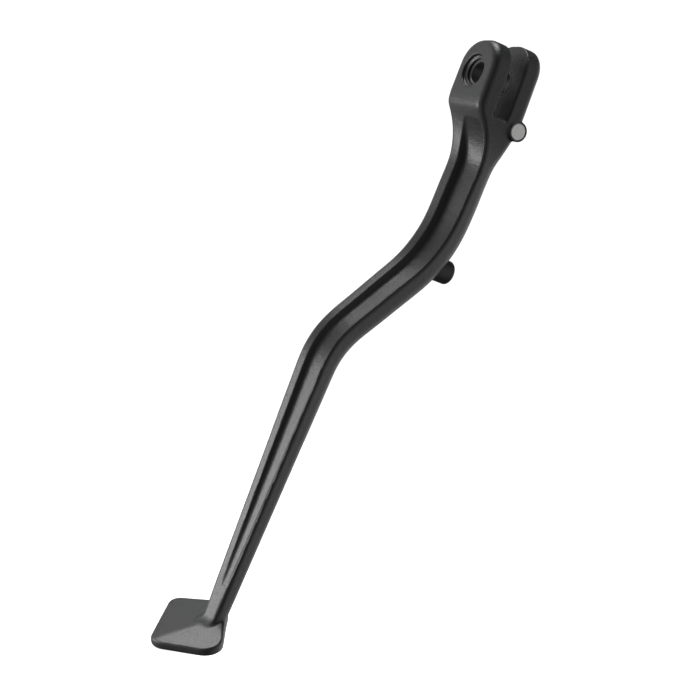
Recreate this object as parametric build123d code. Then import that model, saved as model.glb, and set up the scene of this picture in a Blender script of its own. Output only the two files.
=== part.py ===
"""Motorcycle kickstand: a forged leg with a fork at the top, a foot at the bottom and the
small parts fitted to it.

Frame, in millimetres: the origin is on the pivot bore's axis, half way through the fork.
+Y runs along the pivot bore from the outboard ear to the inboard ear, +Z runs up the leg,
and +X is the side the switch magnet faces.
"""
from build123d import *
from math import cos, hypot, radians, sin, sqrt, tan
import os

os.makedirs("parts", exist_ok=True)

# --- fork ---------------------------------------------------------------------------------
fork_depth = 27.2           # outboard face to inboard face, along Y
outer_ear = 9.4             # thickness of the outboard ear
slot_width = 8.5            # gap between the ears
slot_floor = -18.0          # height of the bottom of the slot
slot_corner = 1.8
slot_clear = 5.0            # how far the slot's cut runs past the ears
slot_reach = 60.0
fork_left_top = -13.2       # ear side on -X, up at the arch
fork_left_base = -14.1      # and down where the neck starts
fork_upright = 2.0          # the -X side is upright this far above the neck
fork_right = 14.8
arch_left_height = 14.0     # height of the two corners of the arch before rounding
arch_right_height = 17.2
arch_left_radius = 13.0
arch_right_radius = 11.5
inner_ear_rise = 2.4        # the inboard ear stands this much taller than the outboard one
outer_edge_radius = 3.5     # rounding all round the outboard face
inner_edge_radius = 3.5     # rounding all round the inboard face
neck_top = -12.0            # height where the fork's straight sides end

# --- pivot --------------------------------------------------------------------------------
pivot_radius = 5.0          # bore the pivot bolt turns in
bush_wall = 1.2
bush_recess = 3.0           # the outboard bush sits this far in from the outboard face
counterbore_land = 1.7      # the counterbore is this much wider than the bush all round
counterbore_depth = 1.7
bush_chamfer = 0.4

# --- leg ----------------------------------------------------------------------------------
leg_centre_x = 0.7
leg_turn = 15.0             # degrees the front face is turned from -Y toward +X
leg_top = -43.0
neck_radius = 34.0          # concave sweep of the front face under the fork
shoulder_blend = 2.5        # softness of the turn from the ear's face into the sweep
upper_lean = 3.5            # degrees from vertical, outboard going down
middle_lean = 35.0
lower_lean = 2.0
leg_top_y = -1.2            # front face at the top of the leg
bend_one_z = -82.3          # heights where the straight runs would cross
bend_two_z = -137.8
bend_one_radius = 65.0
bend_two_radius = 48.0
leg_end_z = -278.2          # front face line meets the foot
leg_widths = (21.6, 20.3, 18.3, 9.0)    # front face at leg top, both bends and the foot
leg_depths = (12.8, 13.6, 12.4, 9.0)    # front to back at the same places
front_radius = 1.8
back_radius_top = 8.0
back_radius_foot = 3.9
neck_drops = (0.0, 1.5, 3.0, 4.5, 6.0, 8.0, 10.5, 14.0, 18.0, 22.0, 26.5)   # sections below neck_top
leg_steps = 24              # sections the leg is drawn through

# --- channel in the front face --------------------------------------------------------------
channel_depth = 4.0
left_rim_top = 6.0
left_rim_low = 4.4
right_rim_top = 1.9
right_rim_low = 0.9
left_draft = 30.0           # degrees the channel's walls lean back
right_draft = 15.0
channel_floor_radius = 2.4
channel_clear = 3.0         # how far the cut reaches out of the front face
channel_end = -262.0        # height where the channel has run out
channel_fade = 0.45         # below 1 the depth holds on before it runs out
channel_lift = 0.3          # the whole floor is raised by this
channel_head_z = -20.0      # height of the channel's head, in the neck
channel_head_rim = 13.5     # left rim at the head
channel_drops = (-0.7, 0.2, 1.5, 3.0, 5.0, 8.0, 12.0, 16.0, 20.0)   # sections below its head

# --- switch magnet and its lug --------------------------------------------------------------
magnet_radius = 4.0
magnet_length = 5.0
magnet_recess = 0.2
magnet_chamfer = 0.35
lug_wall = 0.8
lug_step_in = 0.2           # the lug's face stands this far inside the ear's side
lug_overhang = 1.5          # centre of the magnet outboard of its ear's inboard face
lug_below_slot = 1.5        # and below the slot's floor
lug_length = 11.0
lug_web_length = 5.4
lug_web_top = 12.0          # the webs reach this far above and below the magnet
lug_web_foot = 18.0
lug_web_sink = 0.4          # the web's straight side lies this far inside the ear
lug_foot_sink = 5.7         # and its lower end this far in
lug_upper_round = 5.0
lug_lower_round = 6.0

# --- spring post ------------------------------------------------------------------------------
post_radius = 5.6
post_flare = 0.7            # its base is this much wider all round
post_length = 10.5          # stands out of the back of the leg
post_spigot_radius = 3.5
post_spigot_length = 5.0
post_z = -91.1
post_past_back = 1.8        # tip stands this far past the line of the leg's back
post_tip_round = 1.6
post_base_height = 1.5

# --- foot -------------------------------------------------------------------------------------
foot_lean_out = 30.1        # degrees the sole's normal leans outboard
foot_lean_fore = 11.1       # and toward +X
foot_toe_angle = -32.0      # plan direction of the foot's long axis from +X
foot_heel_inboard = (-17.5, 3.8)     # corners in the foot's plane, from the leg's centre:
foot_toe_inboard = (23.2, 7.0)       # along the long axis, then toward inboard
foot_toe_outboard = (15.5, -28.0)
foot_heel_outboard = (-27.0, -24.8)
foot_corner_radii = (7.0, 8.0, 8.0, 4.5)
foot_thickness = 3.8        # edge thickness
foot_ridge = 4.0            # rise of the ridge at the leg
foot_blank = 17.0           # height of the block the two facets are cut from
foot_offset = (-0.5, 5.1, -0.7)      # foot's centre from the end of the leg's front face
foot_edge_round = 1.2
foot_ridge_round = 12.0
leg_bury = 2.3              # the leg carries on this far below the foot's upper side
root_height = 6.0           # the hollow at the leg's root starts this far above the foot
root_flare = 3.0            # and spreads this far
root_right_share = 0.25     # part of the spread on the +X side; the back does not spread
root_sink = 0.3             # its top lies this far inside the leg
root_back_sink = 2.0
root_steps = (0.0, 0.35, 0.6, 0.8, 0.92)
root_bury = 2.5             # the spread carries on this far inside the foot
facet_reach = 200.0

outer_face_y = -fork_depth / 2
inner_face_y = fork_depth / 2
slot_outer_y = outer_face_y + outer_ear
slot_inner_y = slot_outer_y + slot_width
bush_radius = pivot_radius + bush_wall
counterbore_radius = bush_radius + counterbore_land
lug_radius = magnet_radius + lug_wall
lug_x = fork_right - lug_step_in
lug_y = inner_face_y - lug_overhang
lug_z = slot_floor - lug_below_slot


def lean_point(z_from, y_from, z_to, lean):
    """Y reached at height z_to on a line leaning outboard going down."""
    return y_from - (z_from - z_to) * tan(radians(lean))


bend_one_y = lean_point(leg_top, leg_top_y, bend_one_z, upper_lean)
bend_two_y = lean_point(bend_one_z, bend_one_y, bend_two_z, middle_lean)
leg_end_y = lean_point(bend_two_z, bend_two_y, leg_end_z, lower_lean)
path_end_z = leg_end_z - leg_bury
path_end_y = lean_point(bend_two_z, bend_two_y, path_end_z, lower_lean)
post_tip_y = bend_one_y + leg_depths[1] + post_past_back
foot_centre = Vector(leg_centre_x, leg_end_y, leg_end_z) + Vector(*foot_offset)


def leg_path():
    """Centre line of the front face, from the top of the leg to the foot."""
    corners = [
        (leg_centre_x, leg_top_y, leg_top),
        (leg_centre_x, bend_one_y, bend_one_z),
        (leg_centre_x, bend_two_y, bend_two_z),
        (leg_centre_x, path_end_y, path_end_z),
    ]
    first = Vector(*corners[0])
    parts = []
    for index, radius in ((1, bend_one_radius), (2, bend_two_radius)):
        corner = Vector(*corners[index])
        before = (corner - Vector(*corners[index - 1])).normalized()
        after = (Vector(*corners[index + 1]) - corner).normalized()
        turn = before.get_angle(after)
        reach = radius * tan(radians(turn / 2))
        start = corner - before * reach
        finish = corner + after * reach
        parts.append(Line(first, start))
        parts.append(TangentArc(start, finish, tangent=before))
        first = finish
    parts.append(Line(first, Vector(*corners[3])))
    return Wire(parts)


def blend(a, b, t):
    """Value between a and b, easing in and out."""
    t = min(max(t, 0.0), 1.0)
    return a + (b - a) * t * t * (3 - 2 * t)


def eased(gap):
    """The gap where it is positive and nothing where it is negative, with a soft turn between."""
    return (gap + sqrt(gap * gap + shoulder_blend**2)) / 2


def section(plane, width, depth, front_round, back_round):
    """Rounded section of the leg: front face on the plane's X axis, depth along its Y."""
    outline = Polyline(
        (-width / 2, 0), (width / 2, 0), (width / 2, depth), (-width / 2, depth), close=True
    )
    face = make_face(outline)
    front = face.vertices().sort_by(Axis.Y)[:2]
    face = fillet(front, front_round)
    back = face.vertices().sort_by(Axis.Y)[-2:]
    face = fillet(back, back_round)
    return plane * face


def neck_state(z):
    """Centre, turn and sizes of the neck's section at a height between fork and leg."""
    t = (neck_top - z) / (neck_top - leg_top)
    sweep_y = leg_top_y - neck_radius + sqrt(neck_radius**2 - (z - leg_top) ** 2)
    start_gap = leg_top_y - neck_radius + sqrt(neck_radius**2 - (neck_top - leg_top) ** 2) - outer_face_y
    front_y = outer_face_y + eased(sweep_y - outer_face_y) - eased(start_gap) * (1 - t) ** 2
    base_width = fork_right - fork_left_base
    base_centre = (fork_right + fork_left_base) / 2
    width = blend(base_width, leg_widths[0], t)
    centre_x = blend(base_centre, leg_centre_x, t)
    depth = blend(inner_face_y, leg_top_y + leg_depths[0], t) - front_y
    turn = blend(0.0, leg_turn, t)
    front_round = blend(outer_edge_radius, front_radius, t)
    back_round = blend(inner_edge_radius, back_radius_top, t * t)
    return centre_x, front_y, turn, width, depth, front_round, back_round


def neck_plane(z):
    """Level plane at the front face's centre, turned toward +X."""
    centre_x, front_y, turn = neck_state(z)[:3]
    direction = (cos(radians(turn)), sin(radians(turn)), 0)
    return Plane(origin=(centre_x, front_y, z), x_dir=direction, z_dir=(0, 0, 1))


path = leg_path()


def leg_plane(share):
    """Plane across the leg at a share of its path, turned toward +X."""
    along = path.tangent_at(share)
    across = Vector(1, 0, 0).rotate(Axis((0, 0, 0), tuple(along * -1)), leg_turn)
    return Plane(origin=path.position_at(share), x_dir=across, z_dir=along * -1)


def taper(z, sizes):
    """Size at a height on the leg, tapering evenly between its four stations."""
    stations = (leg_top, bend_one_z, bend_two_z, leg_end_z)
    for index in range(3):
        upper, lower = stations[index], stations[index + 1]
        if z >= lower or index == 2:
            t = (upper - z) / (upper - lower)
            return sizes[index] + (sizes[index + 1] - sizes[index]) * t


def leg_sizes(share):
    """Width, depth and corner radii of the leg's section at a share of its path."""
    z = path.position_at(share).Z
    back_round = back_radius_top + (back_radius_foot - back_radius_top) * share
    return taper(z, leg_widths), taper(z, leg_depths), front_radius, back_round


def leg_body():
    """Neck and leg as one smooth solid from the fork's base to the foot."""
    heights = [neck_top - drop for drop in neck_drops]
    sections = [section(neck_plane(z), *neck_state(z)[3:]) for z in heights]
    for index in range(leg_steps + 1):
        share = index / leg_steps
        sections.append(section(leg_plane(share), *leg_sizes(share)))
    return loft(sections)


def root_body():
    """Hollow where the leg stands on the foot: sections along the foot that spread toward it."""
    foot_up = foot_plane().z_dir
    along = Vector(0, sin(radians(lower_lean)), cos(radians(lower_lean)))
    end = Vector(leg_centre_x, leg_end_y, leg_end_z)
    sections = []
    for step in root_steps:
        flare = root_flare * (1 - sqrt(1 - step * step)) - root_sink
        sections.append(root_section(end + along * (root_height * (1 - step)), foot_up, flare))
    return loft(sections + [root_section(end - foot_up * root_bury, foot_up, flare + root_bury)])


def root_section(front, normal, flare):
    """The leg's outline along the foot, spread to the front and both sides and drawn in at the back."""
    turned = Vector(cos(radians(leg_turn)), sin(radians(leg_turn)), 0)
    across = (turned - normal * turned.dot(normal)).normalized()
    back = normal.cross(across)
    right_flare = min(flare * root_right_share, flare)
    origin = front - back * flare + across * ((right_flare - flare) / 2)
    width = leg_widths[-1] + flare + right_flare
    depth = leg_depths[-1] + flare - root_back_sink
    plane = Plane(origin=origin, x_dir=across, z_dir=normal)
    return section(plane, width, depth, front_radius + max(flare, 0), front_radius)


def ear_block(face_y, rise, edge_radius):
    """One ear, from its face to the middle of the slot: arch outline, the face's edge rounded."""
    left_height = arch_left_height + rise
    right_height = arch_right_height + rise
    outline = Polyline(
        (fork_left_base, neck_top),
        (fork_left_base, neck_top + fork_upright),
        (fork_left_top, left_height),
        (fork_right, right_height),
        (fork_right, neck_top),
        close=True,
    )
    face = make_face(Plane.XZ * outline)
    for corner, radius in (
        ((fork_left_top, 0, left_height), arch_left_radius),
        ((fork_right, 0, right_height), arch_right_radius),
    ):
        face = fillet(face.vertices().sort_by_distance(corner)[0], radius)
    middle_y = (slot_outer_y + slot_inner_y) / 2
    block = Pos(0, face_y, 0) * extrude(face, middle_y - face_y, dir=(0, 1, 0))
    rim = block.edges().filter_by_position(Axis.Y, face_y, face_y).sort_by(Axis.Z)[1:]
    return fillet(rim, edge_radius)


def fork_block():
    """Both ears, meeting in the middle of the slot that is cut later."""
    outer = ear_block(outer_face_y, 0, outer_edge_radius)
    inner = ear_block(inner_face_y, inner_ear_rise, inner_edge_radius)
    return outer + inner


def channel_section(plane, left, right, depth):
    """Trough across the front face from left to right, walls drafted, floor corners round."""
    left_slope = tan(radians(left_draft))
    right_slope = tan(radians(right_draft))
    outline = Polyline(
        (left - channel_clear * left_slope, -channel_clear),
        (left + depth * left_slope, depth),
        (right - depth * right_slope, depth),
        (right + channel_clear * right_slope, -channel_clear),
        close=True,
    )
    face = make_face(outline)
    floor = face.vertices().sort_by(Axis.Y)[-2:]
    return plane * fillet(floor, channel_floor_radius)


def channel_body():
    """The channel as a solid to cut: a rounded head in the neck, running out at the foot."""
    sections = []
    for drop in channel_drops:
        z = channel_head_z - drop
        rise = (z - leg_top) / (channel_head_z - leg_top)
        rim = left_rim_top + (channel_head_rim - left_rim_top) * rise**3
        depth = channel_depth * (1 - rise**3) - channel_lift
        half = neck_state(z)[3] / 2
        sections.append(channel_section(neck_plane(z), rim - half, half - right_rim_top, depth))
    for index in range(leg_steps + 1):
        step = index / leg_steps
        z = path.position_at(step).Z
        if z < channel_end:
            break
        fade = (z - channel_end) / (leg_top - channel_end)
        depth = channel_depth * fade**channel_fade - channel_lift
        left_rim = left_rim_low + (left_rim_top - left_rim_low) * fade
        right_rim = right_rim_low + (right_rim_top - right_rim_low) * fade
        half = leg_sizes(step)[0] / 2
        sections.append(channel_section(leg_plane(step), left_rim - half, half - right_rim, depth))
    return loft(sections)


def slot_tool():
    """The gap between the ears, open at the top and on both sides, round in its corners."""
    middle = (slot_outer_y + slot_inner_y) / 2
    top = arch_right_height + inner_ear_rise + slot_clear
    block = Box(slot_reach, slot_width, top - slot_floor)
    block = Pos(0, middle, (top + slot_floor) / 2) * block
    bottom = block.edges().filter_by(Axis.X).sort_by(Axis.Z)[:2]
    block = fillet(bottom, slot_corner)
    return block


def along_y(radius, y_from, y_to):
    """Cylinder on the pivot axis between two positions along it."""
    solid = Cylinder(radius, y_to - y_from)
    return Pos(0, (y_from + y_to) / 2, 0) * Rot(90, 0, 0) * solid


def bush(y_from, y_to):
    """Plain ring on the pivot axis, its bore chamfered at both ends."""
    ring = along_y(bush_radius, y_from, y_to) - along_y(pivot_radius, y_from, y_to)
    rims = ring.edges().filter_by(GeomType.CIRCLE)
    bore_rims = [edge for edge in rims if abs(edge.radius - pivot_radius) < bush_wall / 2]
    return chamfer(bore_rims, bush_chamfer)


magnet_plane = Plane(origin=(lug_x, lug_y, lug_z), x_dir=(0, 1, 0), z_dir=(1, 0, 0))


def magnet_lug():
    """Round lug for the magnet on the inboard ear, webbed into the ear above and the neck below."""
    disc = Pos(0, 0, -lug_length / 2) * Cylinder(lug_radius, lug_length)
    side = inner_face_y - lug_web_sink - lug_y
    outline = make_face(
        Polyline(
            (side - lug_radius, lug_web_top),
            (side, lug_web_top),
            (side, 0),
            (side + lug_web_sink - lug_foot_sink, -lug_web_foot),
            (side - lug_radius, -lug_web_foot),
            close=True,
        )
    )
    outline += Circle(lug_radius)
    for height, radius in ((1, lug_upper_round), (-1, lug_lower_round)):
        meets = [v for v in outline.vertices() if abs(hypot(v.X, v.Y) - lug_radius) < lug_wall / 9]
        outline = fillet([v for v in meets if v.X > -lug_radius / 2 and v.Y * height > 0], radius)
    web = Pos(0, 0, -lug_length) * extrude(outline, lug_web_length)
    return magnet_plane * (disc + web)


def magnet():
    """Disc magnet pressed into the lug, its face just below the lug's rim."""
    disc = Cylinder(magnet_radius, magnet_length)
    rims = disc.edges().filter_by(GeomType.CIRCLE)
    disc = chamfer(rims, magnet_chamfer)
    return magnet_plane * (Pos(0, 0, -magnet_recess - magnet_length / 2) * disc)


def magnet_pocket():
    """Blind hole the magnet is pressed into."""
    depth = magnet_length + magnet_recess
    return magnet_plane * (Pos(0, 0, -depth / 2) * Cylinder(magnet_radius, depth))


def spring_post():
    """Post the return springs hook on: spigot in the leg, flared base, rounded tip."""
    base_y = post_tip_y - post_length
    spigot_y = base_y - post_spigot_length
    shaft_y = base_y + post_base_height
    round_y = post_tip_y - post_tip_round
    tip_radius = post_radius - post_tip_round
    profile = make_face(
        Curve() + [
            Polyline(
                (tip_radius, post_tip_y),
                (0, post_tip_y),
                (0, spigot_y),
                (post_spigot_radius, spigot_y),
                (post_spigot_radius, base_y),
                (post_radius + post_flare, base_y),
                (post_radius, shaft_y),
                (post_radius, round_y),
            ),
            RadiusArc((post_radius, round_y), (tip_radius, post_tip_y), -post_tip_round),
        ]
    )
    return Pos(leg_centre_x, 0, post_z) * revolve(profile, Axis.Y)


def foot_plane():
    """Plane of the foot's upper edge: long axis toward the toe, normal away from the sole."""
    up = Vector(0, 0, 1).rotate(Axis.X, foot_lean_out).rotate(Axis.Y, foot_lean_fore)
    toe_x, toe_y = cos(radians(foot_toe_angle)), sin(radians(foot_toe_angle))
    toe = Vector(toe_x, toe_y, -(up.X * toe_x + up.Y * toe_y) / up.Z).normalized()
    return Plane(origin=foot_centre, x_dir=toe, z_dir=up)


def facet(point_a, point_b, point_c):
    """Half space below the plane through three points, as a large block."""
    origin = Vector(*point_a)
    normal = (Vector(*point_b) - origin).cross(Vector(*point_c) - origin).normalized()
    if normal.Z < 0:
        normal = normal * -1
    return Plane(origin=origin, z_dir=normal) * Pos(0, 0, -facet_reach / 2) * Box(
        facet_reach, facet_reach, facet_reach
    )


def foot():
    """Plate whose upper side rises in two facets to a ridge from the toe to the leg."""
    corners = (foot_heel_inboard, foot_toe_inboard, foot_toe_outboard, foot_heel_outboard)
    face = make_face(Polyline(*corners, close=True))
    for corner, radius in zip(corners, foot_corner_radii):
        face = fillet(face.vertices().sort_by_distance((*corner, 0))[0], radius)
    solid = Pos(0, 0, -foot_thickness) * extrude(face, foot_blank)
    ridge_top = (0, 0, foot_ridge)
    toe_outboard = (*foot_toe_outboard, 0)
    solid &= facet((*foot_heel_outboard, 0), toe_outboard, ridge_top)
    solid &= facet(toe_outboard, (*foot_toe_inboard, 0), ridge_top)
    ridge = solid.edges().sort_by_distance(ridge_top)[0]
    solid = fillet(ridge, foot_ridge_round)
    rim = [edge for edge in solid.edges() if edge_spans_rim(edge)]
    return foot_plane() * fillet(rim, foot_edge_round)


def edge_spans_rim(edge):
    """True for the edges round the foot's outline, top and bottom, not its upright corners."""
    start, finish = edge.position_at(0), edge.position_at(1)
    return hypot(start.X - finish.X, start.Y - finish.Y) > foot_edge_round / 2


post = spring_post()
leg = leg_body() + fork_block() - channel_body()
leg = leg + magnet_lug() - slot_tool()
leg = leg + foot() + root_body()
leg -= along_y(counterbore_radius, outer_face_y, outer_face_y + counterbore_depth)
leg -= along_y(bush_radius, outer_face_y, inner_face_y)
leg = leg - magnet_pocket() - post
export_step(leg, "parts/leg.step")
export_step(magnet(), "parts/sensor_magnet.step")
export_step(post, "parts/spring_post.step")
export_step(bush(outer_face_y + bush_recess, slot_outer_y), "parts/outer_pivot_bush.step")
export_step(bush(slot_inner_y, inner_face_y), "parts/inner_pivot_bush.step")
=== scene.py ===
"""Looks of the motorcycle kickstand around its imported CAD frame: forged skin, coats, light, camera."""
import bmesh
import bpy
import math
from mathutils import Matrix, Vector


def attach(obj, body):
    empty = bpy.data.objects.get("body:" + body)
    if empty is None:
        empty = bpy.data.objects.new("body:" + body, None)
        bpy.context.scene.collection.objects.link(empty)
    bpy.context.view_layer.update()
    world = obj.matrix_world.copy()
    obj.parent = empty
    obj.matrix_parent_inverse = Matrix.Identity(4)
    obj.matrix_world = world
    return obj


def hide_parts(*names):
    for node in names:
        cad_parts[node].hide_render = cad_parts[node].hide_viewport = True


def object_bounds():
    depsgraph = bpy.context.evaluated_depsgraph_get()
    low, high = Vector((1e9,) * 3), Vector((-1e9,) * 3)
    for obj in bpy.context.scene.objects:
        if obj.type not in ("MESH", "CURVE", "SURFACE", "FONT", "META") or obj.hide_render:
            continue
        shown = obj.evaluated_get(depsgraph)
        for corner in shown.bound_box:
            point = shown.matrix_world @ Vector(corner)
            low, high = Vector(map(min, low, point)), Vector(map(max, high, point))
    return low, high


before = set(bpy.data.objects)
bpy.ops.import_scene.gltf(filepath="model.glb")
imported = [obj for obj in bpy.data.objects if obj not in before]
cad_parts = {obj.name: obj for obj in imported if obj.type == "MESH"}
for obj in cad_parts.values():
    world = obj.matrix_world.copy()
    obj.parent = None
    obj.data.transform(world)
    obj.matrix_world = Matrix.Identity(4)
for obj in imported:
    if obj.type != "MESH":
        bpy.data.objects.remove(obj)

CAD_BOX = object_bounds()

# --- skin ---------------------------------------------------------------------------------
SKIN_VOXEL = 0.00045        # metres, grain of the rebuilt skin
SKIN_SMOOTH = 3             # rounds of smoothing, which soften the forging's edges
SMOOTH_FACTOR = 0.5
MERGE_GAP = 1e-6            # vertices closer than this are one
ROOT_CENTRE = (0.0, -0.0445, -0.2745)     # middle of the hollow at the leg's root
ROOT_REACH = 0.0135         # how far from there the root is smoothed
ROOT_FADE = 0.005           # and over what distance that fades out
ROOT_SMOOTH = 30            # rounds of smoothing there

# --- coats: dark and light shade of the cloudiness, lowest and highest roughness ------------
COAT_SHADES = ((0.013, 0.0135, 0.0145), (0.020, 0.0205, 0.0215))
COAT_ROUGHNESS = (0.30, 0.42)
COAT_SPECULAR = 0.6
PEEL_DEPTH = 0.00014        # metres
GRAIN_DEPTH = 0.00016
NICKEL_SHADES = ((0.82, 0.82, 0.80), (0.93, 0.93, 0.91))
NICKEL_ROUGHNESS = (0.30, 0.46)
NICKEL_METALLIC = 0.25
POST_SHADES = ((0.03, 0.03, 0.032), (0.05, 0.05, 0.052))
POST_ROUGHNESS = (0.36, 0.5)
BUSH_SHADES = ((0.08, 0.08, 0.085), (0.13, 0.13, 0.135))
BUSH_ROUGHNESS = (0.34, 0.5)
STEEL_METALLIC = 0.6

# --- camera -------------------------------------------------------------------------------
CAMERA_AIM = (0.0, -0.0244, -0.1399)
CAMERA_BACK = (0.839, -0.545, 0.0)
CAMERA_UP = (-0.186, -0.287, 0.940)
CAMERA_DISTANCE = 1.5
CAMERA_LENS = 169.0         # millimetres
SENSOR_WIDTH = 36.0
CAMERA_REACH = 20

# --- key light: metres and watts --------------------------------------------------------------
KEY_PLACE = (-0.23, -0.49, -0.24)
KEY_AIM = (0, -0.04, -0.2)
KEY_SIZE = (0.35, 0.25)
KEY_POWER = 1.9

# --- floor and backdrop -----------------------------------------------------------------------
FLOOR_SIZE = 6
FLOOR_GAP = 0.0003          # the floor lies this far under the part
FLOOR_GLOW = 0.95
FLOOR_BASE = (0.5, 0.5, 0.5)
DOME_RADIUS = 4
DOME_GLOW = 1.1

# --- world: directions in the row frame, cosines where a lobe starts and is full, its strength ---
WORLD_BASE = 0.10
WORLD_LOBES = (
    ((-0.842, -0.545, 0.0), 0.55, 0.97, 0.75),
    ((-0.26, -0.20, 0.945), 0.90, 0.975, 9.0),
    ((0.65, 0.75, 0.05), 0.5, 0.95, 0.6),
    ((-0.2, 1.0, 0.1), 0.75, 0.97, 1.0),
    ((-0.1, -0.9, -0.45), 0.4, 0.97, 0.5),
)


def node(tree, kind, **settings):
    """A shader node with its settings made; a setting that is no attribute sets the input socket."""
    made = tree.nodes.new(kind)
    for name, value in settings.items():
        if hasattr(made, name):
            setattr(made, name, value)
        else:
            made.inputs[name.replace("_", " ")].default_value = value
    return made


def new_material(name):
    """An empty node material with its Principled shader and the object's own coordinates in metres."""
    material = bpy.data.materials.new(name)
    material.use_nodes = True
    tree = material.node_tree
    tree.nodes.clear()
    out = tree.nodes.new("ShaderNodeOutputMaterial")
    shader = tree.nodes.new("ShaderNodeBsdfPrincipled")
    tree.links.new(shader.outputs["BSDF"], out.inputs["Surface"])
    where = tree.nodes.new("ShaderNodeTexCoord")
    return material, tree, shader, where.outputs["Object"]


def noise(tree, where, scale, detail=3.0, roughness=0.55):
    """Noise value over the surface; scale is in features per metre."""
    made = node(tree, "ShaderNodeTexNoise", Scale=scale, Detail=detail, Roughness=roughness)
    tree.links.new(where, made.inputs["Vector"])
    return made.outputs["Fac"]


def ramp(tree, value, low, high, from_low=0.3, from_high=0.7):
    """The value spread over a new range."""
    made = node(tree, "ShaderNodeMapRange")
    made.inputs["From Min"].default_value = from_low
    made.inputs["From Max"].default_value = from_high
    made.inputs["To Min"].default_value = low
    made.inputs["To Max"].default_value = high
    tree.links.new(value, made.inputs["Value"])
    return made.outputs["Result"]


def shade(tree, value, dark, light):
    """A colour between two, by value."""
    made = node(tree, "ShaderNodeMix", data_type="RGBA")
    made.inputs["A"].default_value = (*dark, 1)
    made.inputs["B"].default_value = (*light, 1)
    tree.links.new(value, made.inputs["Factor"])
    return made.outputs["Result"]


def bump(tree, height, distance, strength, under=None):
    """Surface relief of a given depth in metres, laid over another relief."""
    made = node(tree, "ShaderNodeBump", Strength=strength, Distance=distance)
    tree.links.new(height, made.inputs["Height"])
    if under is not None:
        tree.links.new(under, made.inputs["Normal"])
    return made.outputs["Normal"]


def black_coat():
    """Satin black coat over a forged skin: fine orange peel, faint cloud, blasted grain."""
    material, tree, shader, where = new_material("black_coat")
    cloud = noise(tree, where, 60)
    grain = noise(tree, where, 1500, 4, 0.6)
    peel = noise(tree, where, 420, 2)
    tree.links.new(shade(tree, cloud, *COAT_SHADES), shader.inputs["Base Color"])
    tree.links.new(ramp(tree, grain, *COAT_ROUGHNESS), shader.inputs["Roughness"])
    coarse = bump(tree, peel, PEEL_DEPTH, 0.6)
    tree.links.new(bump(tree, grain, GRAIN_DEPTH, 0.8, coarse), shader.inputs["Normal"])
    shader.inputs["Specular IOR Level"].default_value = COAT_SPECULAR
    return material


def nickel():
    """Satin nickel plating, slightly cloudy, with fine grain."""
    material, tree, shader, where = new_material("nickel")
    cloud = noise(tree, where, 500)
    grain = noise(tree, where, 4000, 4, 0.6)
    tree.links.new(shade(tree, cloud, *NICKEL_SHADES), shader.inputs["Base Color"])
    tree.links.new(ramp(tree, grain, *NICKEL_ROUGHNESS), shader.inputs["Roughness"])
    tree.links.new(bump(tree, grain, 0.00002, 0.35), shader.inputs["Normal"])
    shader.inputs["Metallic"].default_value = NICKEL_METALLIC
    return material


def dark_steel(name, shades, roughness):
    """Dark plated steel with fine grain."""
    material, tree, shader, where = new_material(name)
    cloud = noise(tree, where, 250)
    grain = noise(tree, where, 2600, 4, 0.6)
    tree.links.new(shade(tree, cloud, *shades), shader.inputs["Base Color"])
    tree.links.new(ramp(tree, grain, *roughness), shader.inputs["Roughness"])
    tree.links.new(bump(tree, grain, 0.00003, 0.4), shader.inputs["Normal"])
    shader.inputs["Metallic"].default_value = STEEL_METALLIC
    return material


def forged_skin():
    """The leg rebuilt as one skin with softened edges, inside the CAD shape."""
    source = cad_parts["leg"]
    mesh = source.data.copy()
    mesh.materials.clear()
    skin = bpy.data.objects.new("leg_skin", mesh)
    bpy.context.scene.collection.objects.link(skin)
    work = bmesh.new()
    work.from_mesh(mesh)
    bmesh.ops.remove_doubles(work, verts=work.verts, dist=MERGE_GAP)
    work.to_mesh(mesh)
    work.free()
    if mesh.has_custom_normals:
        mesh.attributes.remove(mesh.attributes["custom_normal"])
    remesh = skin.modifiers.new("remesh", "REMESH")
    remesh.mode = "VOXEL"
    remesh.voxel_size = SKIN_VOXEL
    remesh.use_smooth_shade = True
    smooth = skin.modifiers.new("smooth", "SMOOTH")
    smooth.factor = SMOOTH_FACTOR
    smooth.iterations = SKIN_SMOOTH
    bake(skin)
    soften_root(skin)
    final = skin.data
    for polygon in final.polygons:
        polygon.use_smooth = True
    return skin


def bake(thing):
    """The thing's modifiers worked into its mesh."""
    graph = bpy.context.evaluated_depsgraph_get()
    mesh = bpy.data.meshes.new_from_object(thing.evaluated_get(graph))
    thing.modifiers.clear()
    thing.data = mesh


def soften_root(skin):
    """Smooths the hollow between the leg and the foot, fading out upward and away from the leg."""
    group = skin.vertex_groups.new(name="root")
    leg_line = Vector(ROOT_CENTRE)
    for vertex in skin.data.vertices:
        gap = (vertex.co - leg_line).length
        weight = min(max((ROOT_REACH - gap) / ROOT_FADE, 0), 1)
        if weight > 0:
            group.add([vertex.index], weight, "REPLACE")
    smooth = skin.modifiers.new("root", "SMOOTH")
    smooth.factor = SMOOTH_FACTOR
    smooth.iterations = ROOT_SMOOTH
    smooth.vertex_group = "root"
    bake(skin)


def carry_over(name, material):
    """Gives a CAD node its finished material in every slot."""
    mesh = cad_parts[name].data
    for index in range(len(mesh.materials)):
        mesh.materials[index] = material


def place(thing, position, aim):
    """Puts a thing at a position, its -Z axis toward the aim."""
    direction = Vector(aim) - Vector(position)
    thing.location = position
    thing.rotation_euler = direction.to_track_quat("-Z", "Y").to_euler()


def softbox(name, position, aim, width, height, power):
    """Rectangular area light."""
    light = bpy.data.lights.new(name, "AREA")
    light.shape = "RECTANGLE"
    light.size, light.size_y = width, height
    light.energy = power
    thing = bpy.data.objects.new(name, light)
    bpy.context.scene.collection.objects.link(thing)
    place(thing, position, aim)


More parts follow.
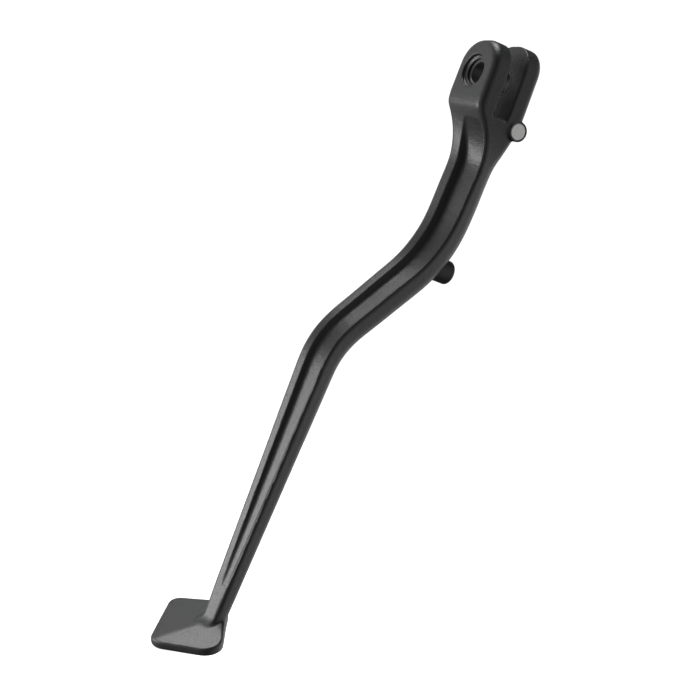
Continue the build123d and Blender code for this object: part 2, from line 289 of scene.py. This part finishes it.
def plain_glow(name, strength, base=(0, 0, 0)):
    """Matt material that also glows white, for the floor and the backdrop."""
    material, tree, shader, where = new_material(name)
    tint = shade(tree, noise(tree, where, 4), base, [c * 1.02 for c in base])
    tree.links.new(tint, shader.inputs["Base Color"])
    shader.inputs["Roughness"].default_value = 0.9
    shader.inputs["Specular IOR Level"].default_value = 0.0
    shader.inputs["Emission Color"].default_value = (1, 1, 1, 1)
    shader.inputs["Emission Strength"].default_value = strength
    return material


def studio():
    """White floor and backdrop, and a world of soft lobes: left, top, right and behind."""
    low = CAD_BOX[0][2]
    bpy.ops.mesh.primitive_plane_add(size=FLOOR_SIZE, location=(0, 0, low - FLOOR_GAP))
    floor = bpy.context.object
    floor.name = "floor"
    floor.data.materials.append(plain_glow("floor_white", FLOOR_GLOW, FLOOR_BASE))
    floor.visible_glossy = False
    floor.visible_diffuse = False
    floor.visible_shadow = False
    bpy.ops.mesh.primitive_uv_sphere_add(segments=48, ring_count=24, radius=DOME_RADIUS)
    dome = bpy.context.object
    dome.name = "backdrop"
    dome.data.materials.append(plain_glow("backdrop_white", DOME_GLOW))
    dome.visible_glossy = False
    dome.visible_diffuse = False
    dome.visible_shadow = False
    world = bpy.data.worlds.new("studio")
    bpy.context.scene.world = world
    world.use_nodes = True
    tree = world.node_tree
    tree.nodes.clear()
    out = tree.nodes.new("ShaderNodeOutputWorld")
    back = tree.nodes.new("ShaderNodeBackground")
    tree.links.new(back.outputs["Background"], out.inputs["Surface"])
    where = tree.nodes.new("ShaderNodeTexCoord").outputs["Generated"]
    total = None
    for direction, edge, full, strength in WORLD_LOBES:
        dot = node(tree, "ShaderNodeVectorMath", operation="DOT_PRODUCT")
        tree.links.new(where, dot.inputs[0])
        dot.inputs[1].default_value = Vector(direction).normalized()
        lobe = node(tree, "ShaderNodeMapRange", interpolation_type="SMOOTHSTEP")
        lobe.inputs["From Min"].default_value = edge
        lobe.inputs["From Max"].default_value = full
        lobe.inputs["To Min"].default_value = 0.0
        lobe.inputs["To Max"].default_value = strength
        tree.links.new(dot.outputs["Value"], lobe.inputs["Value"])
        if total is None:
            total = lobe.outputs["Result"]
            continue
        add = node(tree, "ShaderNodeMath", operation="ADD")
        tree.links.new(total, add.inputs[0])
        tree.links.new(lobe.outputs["Result"], add.inputs[1])
        total = add.outputs["Value"]
    base = node(tree, "ShaderNodeMath", operation="ADD")
    base.inputs[1].default_value = WORLD_BASE
    tree.links.new(total, base.inputs[0])
    tree.links.new(base.outputs["Value"], back.inputs["Strength"])


def camera():
    """Camera that sees the outboard face and the magnet's side, rolled so that the leg leans."""
    data = bpy.data.cameras.new("camera")
    data.lens = CAMERA_LENS
    data.sensor_width = SENSOR_WIDTH
    data.clip_end = CAMERA_REACH
    thing = bpy.data.objects.new("camera", data)
    bpy.context.scene.collection.objects.link(thing)
    back = Vector(CAMERA_BACK).normalized()
    up = Vector(CAMERA_UP)
    up = (up - back * up.dot(back)).normalized()
    right = up.cross(back)
    turn = Matrix((right, up, back)).transposed().to_4x4()
    thing.matrix_world = Matrix.Translation(Vector(CAMERA_AIM) + back * CAMERA_DISTANCE) @ turn
    bpy.context.scene.camera = thing


bpy.context.scene.view_settings.view_transform = "Standard"
skin = forged_skin()
skin.data.materials.clear()
skin.data.materials.append(black_coat())
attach(skin, "root")
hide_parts("leg")
carry_over("sensor_magnet", nickel())
carry_over("spring_post", dark_steel("post_steel", POST_SHADES, POST_ROUGHNESS))
bush_finish = dark_steel("bush_steel", BUSH_SHADES, BUSH_ROUGHNESS)
carry_over("outer_pivot_bush", bush_finish)
carry_over("inner_pivot_bush", bush_finish)
studio()
softbox("key_low_left", KEY_PLACE, KEY_AIM, *KEY_SIZE, KEY_POWER)
camera()
